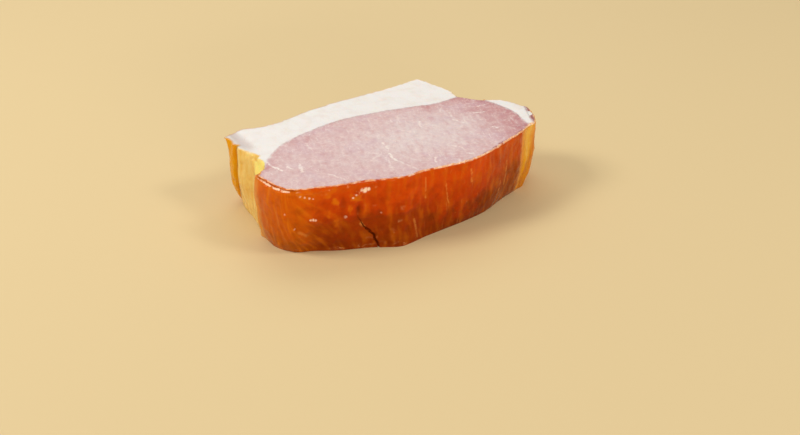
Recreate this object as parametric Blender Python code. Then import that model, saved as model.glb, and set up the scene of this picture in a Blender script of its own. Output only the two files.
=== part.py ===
"""A thick slab of smoked pork loin, cut straight through on both faces.

The slab lies on its lower cut face: X runs along its length, +Y points to the back fat, +Z is up.
It has four layers that run through it from face to face: the lean loin muscle, the thick band of
back fat, a thin crescent of fat round the right end, and a small strip of muscle outside that.
Each layer is a block with four curved sides, lofted between unlike sections from the foot to the
upper cut face.  Lengths are in millimetres until a mesh is made.
"""

import math

import bmesh
import bpy
import numpy as np
from mathutils import Matrix, Vector

MM = 0.001

# Driving sizes
THICKNESS = 31.4
SEAM_GAP = 0.3
STEP_LENGTH = 2.3
SPAN_STEPS = 12

# Heights of the sections, as shares of the thickness, closer together near the foot
LEVELS = (0.0, 0.04, 0.1, 0.19, 0.33, 0.5, 0.67, 0.82, 0.91, 0.96, 1.0)

# A landmark's body offset is reached just under the edge, its foot offset only near the foot
BODY_POWER = 12
FOOT_POWER = 4

# Relief of the upper cut face
WAVE_HEIGHT = 0.3
WAVE_LENGTH_X = 118.0
WAVE_LENGTH_Y = 74.0
TROUGH_X = -59.6
TROUGH_WIDTH = 2.6
TROUGH_START_Y = 12.0
TROUGH_FULL_Y = 25.0
TROUGH_DEPTH = 1.0
CURL_REACH = 4.5
CURL_HEIGHT = 1.1

# The split in the front wall: a thin slanting slit that opens at the foot
SPLIT_TOP = Vector((-37.2, -37.6, 16.5))
SPLIT_FOOT = Vector((-27.4, -41.8, -2.0))
SPLIT_WIDTH = 1.3
SPLIT_DEPTH = 3.4

# Colours of the cut and the smoked surfaces: red, green, blue, roughness
LEAN_PINK = (0.72, 0.52, 0.50, 0.38)
FAT_WHITE = (0.86, 0.82, 0.75, 0.42)
END_FAT_CREAM = (0.80, 0.68, 0.54, 0.42)
END_MUSCLE_RED = (0.42, 0.13, 0.08, 0.40)
SMOKED_ORANGE = (0.50, 0.10, 0.012, 0.30)


class Mark:
    """A landmark on the edge of the upper cut face.

    body is how far the wall under it stands from it, and foot how much further its foot does.
    """

    def __init__(self, x, y, body=(0.0, 0.0), foot=(0.0, 0.0), name="", sharp=False):
        self.edge = np.array((x, y))
        self.body = np.array(body)
        self.foot = np.array(foot)
        self.name = name
        self.sharp = sharp

    def at(self, share):
        """The landmark's place at a share of the height, 0 at the foot and 1 at the edge."""
        body = self.body * (1.0 - share**BODY_POWER)
        foot = self.foot * (1.0 - share) ** FOOT_POWER
        return self.edge + body + foot


# The outline: from the left tip along the fat, round the right end, and back along the front
OUTLINE = (
    Mark(-66.7, 30.4, body=(2.0, -1.2), foot=(5.4, -0.4), name="tip", sharp=True),
    Mark(-57.5, 36.3, body=(0.6, -1.0), foot=(1.5, -2.5)),
    Mark(-47.0, 33.6, foot=(0.5, -1.8)),
    Mark(-35.0, 34.4, foot=(0.0, -1.5)),
    Mark(-21.0, 38.2, foot=(0.0, -1.5)),
    Mark(0.0, 41.0, foot=(0.0, -2.0)),
    Mark(25.0, 41.9, foot=(0.0, -1.5)),
    Mark(43.8, 43.8, foot=(-2.0, -2.0), name="back corner", sharp=True),
    Mark(46.4, 35.0, foot=(-1.5, 0.0)),
    Mark(49.3, 22.5, foot=(-1.2, 0.0)),
    Mark(48.3, 15.0, foot=(-1.0, -0.6), name="fat end", sharp=True),
    Mark(52.0, 10.4, foot=(-1.2, -1.0)),
    Mark(57.0, 6.2, foot=(-1.2, -1.0), name="crescent start"),
    Mark(58.6, 5.4, foot=(-1.2, -1.0), name="crescent back"),
    Mark(63.8, 2.6, body=(0.4, 0.2), foot=(-2.6, -1.6)),
    Mark(67.4, -2.8, body=(0.6, 0.2), foot=(-4.0, -1.0)),
    Mark(69.3, -9.4, body=(0.2, 0.0), foot=(-4.6, -0.4), name="strip start"),
    Mark(70.0, -12.6, foot=(-4.8, 0.0), name="strip back"),
    Mark(67.0, -20.4, body=(-0.2, -0.2), foot=(-4.6, 0.8)),
    Mark(64.0, -26.2, body=(-0.4, -0.2), foot=(-4.6, 1.0), name="strip front"),
    Mark(61.4, -28.2, body=(-2.0, -0.3), foot=(-3.4, 0.8), name="strip end"),
    Mark(58.7, -28.9, body=(-3.9, -1.3), foot=(-1.2, 2.0), name="nose"),
    Mark(50.2, -33.0, body=(-0.6, -0.4), foot=(0.0, 3.8)),
    Mark(40.2, -36.6, foot=(0.0, 3.6)),
    Mark(28.6, -41.0, foot=(0.0, 2.8)),
    Mark(16.0, -43.4, foot=(0.0, 2.6)),
    Mark(3.2, -42.4, body=(0.0, -0.5), foot=(0.0, 0.6)),
    Mark(-7.0, -41.4, body=(0.0, -0.7), foot=(0.0, -1.4)),
    Mark(-15.0, -42.4, body=(0.0, -0.6), foot=(0.0, -2.0)),
    Mark(-21.6, -40.9, body=(0.0, -0.6), foot=(0.6, -3.6)),
    Mark(-31.0, -37.8, body=(0.0, -1.0), foot=(0.0, -0.8)),
    Mark(-44.8, -34.8, body=(0.0, -0.8), foot=(0.0, 1.4)),
    Mark(-54.5, -32.4, body=(0.0, -0.5), foot=(0.6, 3.8)),
    Mark(-61.4, -30.0, body=(-0.5, -0.5), foot=(2.4, 3.4)),
    Mark(-65.6, -25.6, body=(-0.7, -0.3), foot=(3.4, 2.0), name="front left"),
    Mark(-68.4, -17.6, body=(-0.8, 0.0), foot=(3.0, 0.0)),
    Mark(-70.0, -7.6, body=(-0.2, -0.2), foot=(3.6, 0.0), name="lean corner", sharp=True),
    Mark(-66.4, -6.2, body=(-1.2, 0.2), foot=(0.4, 0.8)),
    Mark(-62.6, -3.0, body=(-3.2, -0.4), name="notch", sharp=True),
    Mark(-61.0, 3.0, body=(-3.6, 0.0), foot=(0.4, 0.0)),
    Mark(-61.2, 9.4, body=(-2.2, 0.0), foot=(0.4, 0.0)),
    Mark(-64.6, 16.4, body=(-0.2, 0.0), foot=(2.4, 3.0)),
    Mark(-65.0, 20.4, foot=(3.8, 4.6), name="groove front", sharp=True),
    Mark(-63.6, 21.9, foot=(3.6, 4.4), name="groove", sharp=True),
    Mark(-65.4, 23.5, foot=(5.0, 4.0), name="groove back", sharp=True),
    Mark(-65.0, 27.0, body=(-0.2, 0.0), foot=(5.2, 1.4)),
)
NUMBER_OF = {mark.name: number for number, mark in enumerate(OUTLINE) if mark.name}


def named(name):
    """The outline's landmark of that name."""
    return OUTLINE[NUMBER_OF[name]]


# The seams between layers: each starts and ends on the outline
FAT_SEAM = (
    named("notch"),
    Mark(-59.0, 1.8),
    Mark(-53.6, 7.0),
    Mark(-45.0, 13.0),
    Mark(-30.0, 18.0),
    Mark(-15.0, 21.0),
    Mark(0.0, 20.6),
    Mark(18.0, 17.6),
    Mark(34.0, 13.7),
    named("fat end"),
)
END_FAT_SEAM = (
    named("nose"),
    Mark(59.6, -21.0, body=(-1.0, -0.6)),
    Mark(61.2, -13.0),
    Mark(59.8, -3.8),
    named("crescent start"),
)
END_MUSCLE_SEAM = (
    named("strip end"),
    Mark(62.4, -24.4, body=(-1.0, 0.0), foot=(-3.6, 0.4)),
    Mark(65.4, -18.0, foot=(-4.0, 0.4)),
    named("strip start"),
)


def curve_span(before, start, end, after):
    """Points from start up to, but not on, end along a smooth curve past the neighbours."""
    t = (np.arange(SPAN_STEPS) / SPAN_STEPS)[:, None]
    linear = end - before
    square = 2.0 * before - 5.0 * start + 4.0 * end - after
    cubic = 3.0 * start - before - 3.0 * end + after
    return 0.5 * (2.0 * start + linear * t + square * t**2 + cubic * t**3)


def distance_along(line):
    """The distance along a line at each of its points."""
    steps = np.linalg.norm(np.diff(line, axis=0), axis=1)
    return np.concatenate(((0.0,), np.cumsum(steps)))


def moved_left(line, distance):
    """The line moved sideways, to the left of its direction."""
    ahead = np.gradient(line, axis=0)
    ahead /= np.linalg.norm(ahead, axis=1, keepdims=True)
    return line + distance * np.stack((-ahead[:, 1], ahead[:, 0]), axis=1)


class Run:
    """A smooth stretch between two landmarks, divided into equal steps at any height."""

    def __init__(self, marks, before=None, after=None, steps=0, shift=0.0):
        self.marks = marks
        self.before = before
        self.after = after
        self.shift = shift
        self.backwards = False
        self.length = distance_along(self.curve(1.0))[-1]
        self.steps = steps or max(1, round(self.length / STEP_LENGTH))

    def curve(self, share):
        """Closely spaced points on the stretch at a share of the height."""
        places = [mark.at(share) for mark in self.marks]
        first = self.before.at(share) if self.before else 2.0 * places[0] - places[1]
        last = self.after.at(share) if self.after else 2.0 * places[-1] - places[-2]
        places = [first, *places, last]
        spans = [curve_span(*places[number : number + 4]) for number in range(len(places) - 3)]
        return np.concatenate([*spans, places[-2:-1]])

    def points(self, share):
        """The divided stretch at a share of the height, moved off its seam if it has a shift."""
        curve = self.curve(share)
        along = distance_along(curve)
        wanted = np.linspace(0.0, along[-1], self.steps + 1)
        line = np.stack([np.interp(wanted, along, curve[:, axis]) for axis in (0, 1)], axis=1)
        line = moved_left(line, self.shift)
        return line[::-1] if self.backwards else line


def along_outline(first, last, steps=0, backwards=False):
    """The outline between two landmarks, as a run for each stretch between sharp corners."""
    start = NUMBER_OF[first]
    stop = NUMBER_OF[last]
    if stop < start:
        stop += len(OUTLINE)
    marks = [OUTLINE[number % len(OUTLINE)] for number in range(start - 1, stop + 2)]
    cuts = [number for number in range(1, len(marks) - 1) if marks[number].sharp]
    cuts = sorted({1, *cuts, len(marks) - 2})
    runs = []
    for cut, following in zip(cuts, cuts[1:]):
        before = None if marks[cut].sharp else marks[cut - 1]
        after = None if marks[following].sharp else marks[following + 1]
        runs.append(Run(marks[cut : following + 1], before, after))
    if steps:
        share_steps(runs, steps)
    if backwards:
        runs.reverse()
        for run in runs:
            run.backwards = True
    return runs


def share_steps(runs, steps):
    """Give several runs a set number of steps, by their lengths."""
    whole = sum(run.length for run in runs)
    for run in runs:
        run.steps = max(1, round(steps * run.length / whole))
    longest = max(runs, key=lambda run: run.length)
    longest.steps += steps - steps_of(runs)


def steps_of(runs):
    """How many steps several runs have together."""
    return sum(run.steps for run in runs)


def joined(runs, share):
    """Several runs as one line at a share of the height; a seam's end goes before a wall's."""
    line = runs[0].points(share)
    for run in runs[1:]:
        line = np.concatenate((line, run.points(share)[1:]))
    return line


def cut_face_height(x, y):
    """Height of the upper cut face: slow waves, the trough near the left end, the curled tip."""
    wave = np.sin(math.tau * x / WAVE_LENGTH_X + 0.8) * np.cos(math.tau * y / WAVE_LENGTH_Y)
    rise = np.clip((y - TROUGH_START_Y) / (TROUGH_FULL_Y - TROUGH_START_Y), 0.0, 1.0)
    trough = rise * np.exp(-(((x - TROUGH_X) / TROUGH_WIDTH) ** 2))
    tip_x, tip_y = named("tip").edge
    curl = np.exp(-((np.hypot(x - tip_x, y - tip_y) / CURL_REACH) ** 2))
    return THICKNESS + WAVE_HEIGHT * wave - TROUGH_DEPTH * trough + CURL_HEIGHT * curl


def patch(front, right, back, left):
    """A grid of points that fills four sides, of which opposite ones have as many steps."""
    across = np.linspace(0.0, 1.0, len(front))[:, None, None]
    deep = np.linspace(0.0, 1.0, len(left))[None, :, None]
    between_long = (1.0 - deep) * front[:, None] + deep * back[:, None]
    between_short = (1.0 - across) * left[None] + across * right[None]
    left_corners = (1.0 - deep) * front[0] + deep * back[0]
    right_corners = (1.0 - deep) * front[-1] + deep * back[-1]
    corners = (1.0 - across) * left_corners + across * right_corners
    return between_long + between_short - corners


class Layer:
    """A layer between the two cut faces.

    Its front and back sides run to the right, and its left and right sides run to the back.
    """

    def __init__(self, front, right, back, left):
        self.front = front
        self.right = right
        self.back = back
        self.left = left

    def section(self, share):
        """The four sides at a share of the height, with a seam's end at each shared corner."""
        front, right, back, left = (
            joined(runs, share) for runs in (self.front, self.right, self.back, self.left)
        )
        meet(front, 0, self.front[0], left, 0, self.left[0])
        meet(front, -1, self.front[-1], right, 0, self.right[0])
        meet(back, 0, self.back[0], left, -1, self.left[-1])
        meet(back, -1, self.back[-1], right, -1, self.right[-1])
        return front, right, back, left

    def mesh(self):
        """The layer as one closed mesh, in metres."""
        body = bmesh.new()
        rings = []
        top = around(*self.section(1.0))
        heights = cut_face_height(top[:, 0], top[:, 1])
        for share in LEVELS:
            ring = np.column_stack((around(*self.section(share)), share * heights)) * MM
            rings.append([body.verts.new(place) for place in ring])
        for lower, upper in zip(rings, rings[1:]):
            for number in range(len(lower)):
                after = (number + 1) % len(lower)
                body.faces.new((lower[number], lower[after], upper[after], upper[number]))
        body.faces.new(rings[0][::-1])
        add_cut_face(body, rings[-1], patch(*self.section(1.0)))
        return body


def meet(one, one_end, one_run, other, other_end, other_run):
    """Bring two sides to one corner, which is the seam's where one of them is a seam."""
    if other_run.shift and not one_run.shift:
        one[one_end] = other[other_end]
    else:
        other[other_end] = one[one_end]


def around(front, right, back, left):
    """Four sides as one closed outline, counter-clockwise from the front left corner."""
    return np.concatenate((front[:-1], right[:-1], back[:0:-1], left[:0:-1]))


def add_cut_face(body, rim, grid):
    """Add the upper cut face, a grid of quads whose border is the rim."""
    columns = grid.shape[0] - 1
    rows = grid.shape[1] - 1
    places = [(column, 0) for column in range(columns)]
    places += [(columns, row) for row in range(rows)]
    places += [(column, rows) for column in range(columns, 0, -1)]
    places += [(0, row) for row in range(rows, 0, -1)]
    verts = dict(zip(places, rim))
    for column in range(1, columns):
        for row in range(1, rows):
            x, y = grid[column, row]
            verts[(column, row)] = body.verts.new((x * MM, y * MM, cut_face_height(x, y) * MM))
    for column in range(columns):
        for row in range(rows):
            corners = ((column, row), (column + 1, row), (column + 1, row + 1), (column, row + 1))
            body.faces.new([verts[corner] for corner in corners])


def make_layers():
    """The four layers by name; neighbours share a seam, each half a gap away from it."""
    half_gap = SEAM_GAP / 2.0
    fat_seam = (Run(FAT_SEAM, shift=-half_gap), Run(FAT_SEAM, shift=half_gap))
    end_seam = (Run(END_FAT_SEAM, shift=half_gap), Run(END_FAT_SEAM, shift=-half_gap))
    strip_seam = (Run(END_MUSCLE_SEAM, shift=half_gap), Run(END_MUSCLE_SEAM, shift=-half_gap))

    lean_back = [fat_seam[0], *along_outline("fat end", "crescent start")]
    loin_muscle = Layer(
        front=along_outline("nose", "front left", steps_of(lean_back), backwards=True),
        right=[end_seam[0]],
        back=lean_back,
        left=along_outline("front left", "notch", end_seam[0].steps),
    )
    fat_left = along_outline("notch", "tip")
    back_fat = Layer(
        front=[fat_seam[1]],
        right=along_outline("back corner", "fat end", steps_of(fat_left), backwards=True),
        back=along_outline("tip", "back corner", fat_seam[1].steps),
        left=fat_left,
    )
    crescent_steps = end_seam[1].steps - strip_seam[0].steps
    crescent = along_outline("crescent back", "strip start", crescent_steps, backwards=True)
    end_fat_rear = along_outline("crescent start", "crescent back", 2)
    end_fat = Layer(
        front=along_outline("strip end", "nose", 2, backwards=True),
        right=[strip_seam[0], *crescent],
        back=end_fat_rear,
        left=[end_seam[1]],
    )
    end_muscle = Layer(
        front=along_outline("strip front", "strip end", 2, backwards=True),
        right=along_outline("strip back", "strip front", strip_seam[1].steps, backwards=True),
        back=along_outline("strip start", "strip back", 2),
        left=[strip_seam[1]],
    )
    return {
        "loin_muscle": (loin_muscle, LEAN_PINK),
        "back_fat": (back_fat, FAT_WHITE),
        "end_fat": (end_fat, END_FAT_CREAM),
        "end_muscle": (end_muscle, END_MUSCLE_RED),
    }


def make_material(name, colour):
    """A plain glossy food surface."""
    *rgb, roughness = colour
    material = bpy.data.materials.new(name)
    material.use_nodes = True
    shader = material.node_tree.nodes["Principled BSDF"]
    shader.inputs["Base Color"].default_value = (*rgb, 1.0)
    shader.inputs["Roughness"].default_value = roughness
    shader.inputs["Metallic"].default_value = 0.0
    return material


def centre_of(bodies):
    """The middle of the slab's plan, over all its layers."""
    places = np.array([vert.co[:2] for body in bodies for vert in body.verts])
    return (places.min(axis=0) + places.max(axis=0)) / 2.0


def make_object(name, body, collection):
    """Put a finished mesh in the collection."""
    mesh = bpy.data.meshes.new(name)
    body.to_mesh(mesh)
    body.free()
    made = bpy.data.objects.new(name, mesh)
    collection.objects.link(made)
    return made


def paint(made, colour, smoked):
    """Give the cut faces the layer's colour, and the walls between them the smoked one."""
    made.data.materials.append(make_material(made.name, colour))
    made.data.materials.append(smoked)
    for face in made.data.polygons:
        face.material_index = 0 if abs(face.normal.z) > 0.7 else 1
    made.data.shade_smooth()
    made.data.set_sharp_from_angle(angle=math.radians(40.0))


def make_split_cutter(offset, collection):
    """A flattened ball, long down the slant of the split and thin across it."""
    down = (SPLIT_FOOT - SPLIT_TOP).normalized()
    inward = Vector((0.0, 1.0, 0.0))
    across = inward.cross(down).normalized()
    inward = down.cross(across)
    turn = Matrix((across, inward, down)).transposed().to_4x4()
    length = (SPLIT_FOOT - SPLIT_TOP).length
    size = Matrix.Diagonal((SPLIT_WIDTH, SPLIT_DEPTH * 2.0, length, 1.0))
    place = Matrix.Translation((SPLIT_TOP + SPLIT_FOOT) / 2.0 * MM - offset)
    body = bmesh.new()
    bmesh.ops.create_uvsphere(body, u_segments=14, v_segments=10, radius=0.5)
    bmesh.ops.transform(body, matrix=place @ turn @ Matrix.Scale(MM, 4) @ size, verts=body.verts)
    cutter = make_object("split_cutter", body, collection)
    cutter.display_type = "WIRE"
    cutter.hide_render = True
    return cutter


def cut(target, cutter):
    """Take the cutter's shape out of the target."""
    boolean = target.modifiers.new("split", "BOOLEAN")
    boolean.operation = "DIFFERENCE"
    boolean.solver = "EXACT"
    boolean.object = cutter


def main():
    for old in list(bpy.data.objects):
        bpy.data.objects.remove(old, do_unlink=True)
    slab = bpy.data.collections.new("smoked_loin_slab")
    cutters = bpy.data.collections.new("cutters")
    for collection in (slab, cutters):
        bpy.context.scene.collection.children.link(collection)

    layers = make_layers()
    bodies = {name: layer.mesh() for name, (layer, colour) in layers.items()}
    offset = Vector((*centre_of(bodies.values()), 0.0))
    smoked = make_material("smoked_rim", SMOKED_ORANGE)
    made = {}
    for name, body in bodies.items():
        bmesh.ops.translate(body, verts=body.verts, vec=-offset)
        made[name] = make_object(name, body, slab)
        paint(made[name], layers[name][1], smoked)
    cut(made["loin_muscle"], make_split_cutter(offset, cutters))


main()
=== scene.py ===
import functools
import math

import bmesh
import bpy
import numpy as np
from mathutils import Euler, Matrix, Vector
from mathutils.bvhtree import BVHTree
from mathutils.geometry import delaunay_2d_cdt


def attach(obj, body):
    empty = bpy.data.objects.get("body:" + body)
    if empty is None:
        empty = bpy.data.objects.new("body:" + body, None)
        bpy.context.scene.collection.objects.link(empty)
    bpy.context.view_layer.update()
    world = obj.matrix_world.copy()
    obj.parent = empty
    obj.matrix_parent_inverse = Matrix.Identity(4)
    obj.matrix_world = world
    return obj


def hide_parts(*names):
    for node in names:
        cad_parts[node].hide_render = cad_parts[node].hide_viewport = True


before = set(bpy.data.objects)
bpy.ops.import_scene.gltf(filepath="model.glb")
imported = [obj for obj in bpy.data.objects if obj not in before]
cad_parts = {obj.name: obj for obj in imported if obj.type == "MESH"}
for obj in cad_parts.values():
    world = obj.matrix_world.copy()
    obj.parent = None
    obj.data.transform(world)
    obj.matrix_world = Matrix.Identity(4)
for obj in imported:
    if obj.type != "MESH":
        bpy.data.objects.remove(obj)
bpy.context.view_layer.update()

# Lengths are in millimetres unless a comment says metres, and MM turns them into metres.
MM = 0.001

# The four layers of the slab, and the finish that each one has in the record.
LAYERS = {
    "loin_muscle": "lean",
    "back_fat": "fat",
    "end_fat": "end_fat",
    "end_muscle": "outer_muscle",
}
FATTY = ("back_fat", "end_fat")

# Values too small to matter, which keep divisions from zero
TINY_GAP = 1e-7
TINY = 1e-12


def srgb(red, green, blue):
    """A screen colour, 0 to 255 a channel, as the linear colour that shaders use."""
    linear = []
    for value in (red, green, blue):
        share = value / 255
        linear.append(share / 12.92 if share <= 0.04045 else ((share + 0.055) / 1.055) ** 2.4)
    return (*linear, 1.0)


# Colours of the cut faces
LEAN_PALE = srgb(214, 180, 176)
LEAN_ROSE = srgb(196, 140, 138)
LEAN_DEEP = srgb(176, 112, 114)
LEAN_LILAC = srgb(204, 168, 174)
# The pale veil in the muscle's middle is a painted sheen
LEAN_PAINTED_SHEEN = srgb(222, 204, 198)
MARBLE_WHITE = srgb(240, 224, 214)
FAT_WHITE = srgb(236, 230, 223)
FAT_CREAM = srgb(226, 206, 186)
# Grey of the fat's back edge, also painted shade in the left corner's trough
FAT_GREY_AND_SHADE = srgb(190, 168, 158)
OUTER_RED = srgb(150, 84, 72)

# Colours of the smoked outside
SMOKED_ORANGE = (0.62, 0.062, 0.0015, 1.0)
SMOKED_RED = (0.44, 0.038, 0.001, 1.0)
# Brown of the smoked crust, also painted shade towards the foot
SMOKED_BROWN_AND_SHADE = (0.20, 0.024, 0.001, 1.0)
SMOKED_AMBER = (0.74, 0.19, 0.004, 1.0)
SMOKED_PEACH = (0.92, 0.46, 0.20, 1.0)
SMOKED_GLEAM = (1.0, 0.55, 0.20, 1.0)
# Dark of the crust's blotches, also painted shade in the hollows
PIT_DARK_AND_SHADE = (0.17, 0.012, 0.002, 1.0)
# Painted shade under the shelf of the front wall
PAINTED_SHELF_SHADE = (0.27, 0.030, 0.001, 1.0)
FIBRE_AMBER = (0.84, 0.32, 0.06, 1.0)
GLINT = (1.0, 0.68, 0.46, 1.0)
GOLD = (0.83, 0.48, 0.09, 1.0)
GOLD_DEEP = (0.78, 0.335, 0.003, 1.0)
GOLD_PALE = (0.90, 0.63, 0.20, 1.0)
GOLD_BRIGHT = (0.97, 0.76, 0.18, 1.0)
BORDER_AMBER = (0.78, 0.25, 0.004, 1.0)
# Painted shade in the groove of the left end
GROOVE_SHADE = (0.25, 0.085, 0.002, 1.0)
END_OCHRE = (0.52, 0.14, 0.004, 1.0)
CLEAR_WHITE = (1.0, 1.0, 1.0, 1.0)


# From facets to smooth surfaces

WELD = 0.02
FLAT_FOOT = 0.05
UNDERSIDE_STEP = 3.6
ROW_SHARE = 0.866
CLEAR_OF_RIM = 0.45
TALLEST_FACE = 3.2
CORNER_ANGLE = math.radians(35)
RIM_CREASE = 0.32
FULL_CREASE = 1.0
SMOOTH_LEVELS = 2
SEAM_REACH = 0.5
SEAM_PRESS = 0.03
FLAT_UP = 0.6
FLAT_DOWN = -0.9


def tree_of(mesh):
    places = [v.co.copy() for v in mesh.vertices]
    return BVHTree.FromPolygons(places, [p.vertices[:] for p in mesh.polygons])


solids = {name: tree_of(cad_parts[name].data) for name in LAYERS}


def neighbours(name):
    """The solids of the other layers."""
    return [tree for other, tree in solids.items() if other != name]


def is_near(trees, place, reach):
    return any(tree.find_nearest(place, reach)[0] is not None for tree in trees)


def welded(name):
    """A layer's solid as an open mesh, with the corners of its facets joined."""
    cage = bmesh.new()
    cage.from_mesh(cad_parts[name].data)
    bmesh.ops.remove_doubles(cage, verts=cage.verts, dist=WELD * MM)
    return cage


def refill_underside(cage):
    """Replaces the flat underside's long thin triangles by even ones."""
    low = FLAT_FOOT * MM
    flat = [f for f in cage.faces if all(v.co.z < low for v in f.verts)]
    bmesh.ops.delete(cage, geom=flat, context="FACES_KEEP_BOUNDARY")
    edges = [e for e in cage.edges if e.is_boundary]
    verts = list(dict.fromkeys(v for e in edges for v in e.verts))
    number = {v: i for i, v in enumerate(verts)}
    points = [v.co.xy for v in verts]
    lines = [(number[e.verts[0]], number[e.verts[1]]) for e in edges]
    step = UNDERSIDE_STEP * MM
    rim = np.array([p[:] for p in points])
    (low_x, low_y), (high_x, high_y) = rim.min(axis=0), rim.max(axis=0)
    row = 0
    y = low_y + step / 2
    while y < high_y:
        x = low_x + (step / 2 if row % 2 else 0)
        while x < high_x:
            if np.min(np.hypot(*(rim - (x, y)).T)) > step * CLEAR_OF_RIM:
                points.append(Vector((x, y)))
            x += step
        y += step * ROW_SHARE
        row += 1
    places, _, faces, sources, _, _ = delaunay_2d_cdt(points, lines, [], 1, TINY_GAP)
    made = []
    for place, source in zip(places, sources):
        known = [s for s in source if s < len(verts)]
        made.append(verts[known[0]] if known else cage.verts.new((place.x, place.y, 0.0)))
    for face in faces:
        cage.faces.new([made[i] for i in reversed(face)])
    loose = [v for v in cage.verts if not v.link_faces]
    bmesh.ops.delete(cage, geom=loose, context="VERTS")


def is_tall(edge):
    start, end = edge.verts
    return abs(start.co.z - end.co.z) > TALLEST_FACE * MM


def crease_corners(cage, others):
    """Keeps the seams and the foot sharp, and the edge of the cut face a little soft."""
    crease = cage.edges.layers.float.new("crease_edge")
    seam = {f for f in cage.faces if is_near(others, f.calc_center_median(), SEAM_REACH * MM)}
    for e in cage.edges:
        inside = [f in seam for f in e.link_faces]
        if any(inside) and not all(inside):
            e[crease] = FULL_CREASE
        elif e.calc_face_angle(0.0) > CORNER_ANGLE:
            foot = any(f.normal.z < FLAT_DOWN for f in e.link_faces)
            e[crease] = FULL_CREASE if any(inside) or foot else RIM_CREASE


def smooth_mesh(name):
    """The layer's solid with its facets rounded off and its corners kept."""
    cage = welded(name)
    refill_underside(cage)
    upper = [f for f in cage.faces if any(v.co.z > FLAT_FOOT * MM for v in f.verts)]
    bmesh.ops.join_triangles(
        cage, faces=upper, angle_face_threshold=CORNER_ANGLE, angle_shape_threshold=math.pi
    )
    tall = [e for e in cage.edges if is_tall(e)]
    bmesh.ops.subdivide_edges(cage, edges=tall, cuts=1, use_grid_fill=True)
    bmesh.ops.recalc_face_normals(cage, faces=cage.faces)
    crease_corners(cage, neighbours(name))
    mesh = bpy.data.meshes.new("cage")
    cage.to_mesh(mesh)
    cage.free()
    holder = bpy.data.objects.new("cage", mesh)
    bpy.context.scene.collection.objects.link(holder)
    smoothing = holder.modifiers.new("smooth", "SUBSURF")
    smoothing.levels = SMOOTH_LEVELS
    smoothing.render_levels = SMOOTH_LEVELS
    graph = bpy.context.evaluated_depsgraph_get()
    smooth = bpy.data.meshes.new_from_object(holder.evaluated_get(graph))
    bpy.data.objects.remove(holder)
    return smooth


def places_of(mesh):
    flat = np.empty(len(mesh.vertices) * 3)
    mesh.vertices.foreach_get("co", flat)
    return flat.reshape(-1, 3)


def put_places(mesh, places):
    mesh.vertices.foreach_set("co", places.astype(np.float32).ravel())
    mesh.update()


def press_seams(meshes):
    """Moves the walls of each seam together, so that no gap shows between the layers."""
    trees = {name: tree_of(mesh) for name, mesh in meshes.items()}
    for name, mesh in meshes.items():
        places = places_of(mesh)
        for i, place in enumerate(places):
            here = Vector(place)
            for other, tree in trees.items():
                if other == name:
                    continue
                there, _, _, gap = tree.find_nearest(here, SEAM_REACH * MM)
                if there is not None and gap > TINY_GAP:
                    push = gap / 2 + SEAM_PRESS * MM
                    places[i] = here + (there - here) * (push / gap)
        put_places(mesh, places)


# The way round the slab

GROOVE_ANGLE = math.radians(161)
RIM_LOWEST = 24
OUTWARD_BLEND = 2.0


def turn_from_groove(point):
    """The angle of a point round the slab, from the groove in the left end."""
    return (math.atan2(point[1], point[0]) - GROOVE_ANGLE) % (2 * math.pi)


def rim_lines(upper):
    """The outer edge of the cut face, or of the underside, as segments in order round the slab."""
    rim = []
    for name in LAYERS:
        outline = welded(name)
        others = neighbours(name)
        for e in outline.edges:
            ups = [f.normal.z for f in e.link_faces]
            flat = max(ups) > FLAT_UP if upper else min(ups) < FLAT_DOWN
            steep = min(ups) < FLAT_UP if upper else max(ups) > -FLAT_UP
            in_split = upper and min(v.co.z for v in e.verts) < RIM_LOWEST * MM
            if in_split or not (flat and steep):
                continue
            wall = min(e.link_faces, key=lambda f: abs(f.normal.z))
            if not is_near(others, wall.calc_center_median(), SEAM_REACH * MM):
                ends = [np.array(v.co) / MM for v in e.verts]
                rim.append(sorted(ends, key=turn_from_groove))
        outline.free()
    return sorted(rim, key=lambda ends: turn_from_groove(ends[0] + ends[1]))


def beside(points, start, end):
    """Each point's gap in plan to a segment, and the share of the segment's length beside it."""
    along = (end - start)[:2]
    share = np.clip(((points[:, :2] - start[:2]) @ along) / max(along @ along, TINY), 0.0, 1.0)
    closest = start[:2] + share[:, None] * along
    return np.hypot(*(points[:, :2] - closest).T), share


def nearest_on_rim(points, rim):
    """For each point: the gap in plan to a rim, the rim's height, how far round, the way out."""
    best = np.full(len(points), np.inf)
    height = np.zeros(len(points))
    around = np.zeros(len(points))
    outward = np.zeros((len(points), 3))
    travelled = 0.0
    for start, end in rim:
        length = math.hypot(*(end - start)[:2])
        gap, share = beside(points, start, end)
        closer = gap < best
        best[closer] = gap[closer]
        height[closer] = (start[2] + share * (end[2] - start[2]))[closer]
        around[closer] = travelled + share[closer] * length
        travelled += length
    for start, end in rim:
        gap, _ = beside(points, start, end)
        across = np.array((end[1] - start[1], start[0] - end[0], 0.0))
        outward += np.exp((best**2 - gap**2) / OUTWARD_BLEND**2)[:, None] * across
    outward /= np.maximum(np.linalg.norm(outward, axis=1), TINY)[:, None]
    return best, height, around, outward


# Which faces show

INSIDE_SHARE = 0.7
SEAM_ROWS = 2


def outer_faces(mesh, others):
    """True for each face that can be seen, False for those inside a seam."""
    reach = SEAM_REACH * INSIDE_SHARE * MM
    return np.array([not is_near(others, p.center, reach) for p in mesh.polygons])


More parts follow.
